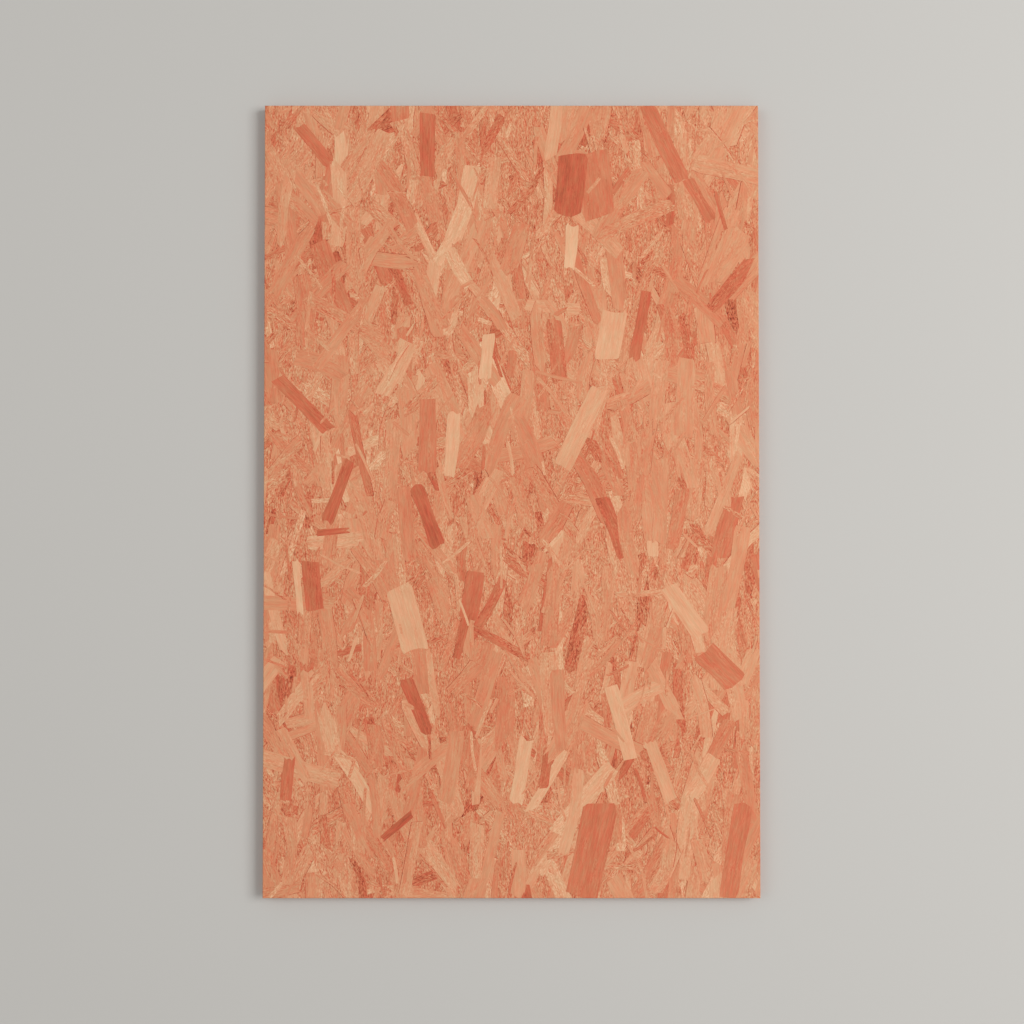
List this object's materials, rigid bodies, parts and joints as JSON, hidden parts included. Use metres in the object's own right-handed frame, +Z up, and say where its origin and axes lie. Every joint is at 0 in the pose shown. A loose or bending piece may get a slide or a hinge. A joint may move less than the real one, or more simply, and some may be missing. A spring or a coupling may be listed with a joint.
{
  "type": "fire-rated osb board",
  "caption": "Flat rectangular panel of red-dyed, fire-rated oriented strand board with square sawn edges.",
  "frame": {"origin": "middle of the underside, on the floor that the board lies on", "axes": "+X along the width, +Y along the length, which is the main direction of the face strands, +Z up out of the top face"},
  "size_m": [0.625, 1, 0.018],
  "materials": {
    "osb_red": "matt, lightly sanded strand surface dyed salmon red, with visible strands of paler and darker tone"
  },
  "bodies": {
    "root": {"board": "osb_red"}
  },
  "joints": []
}
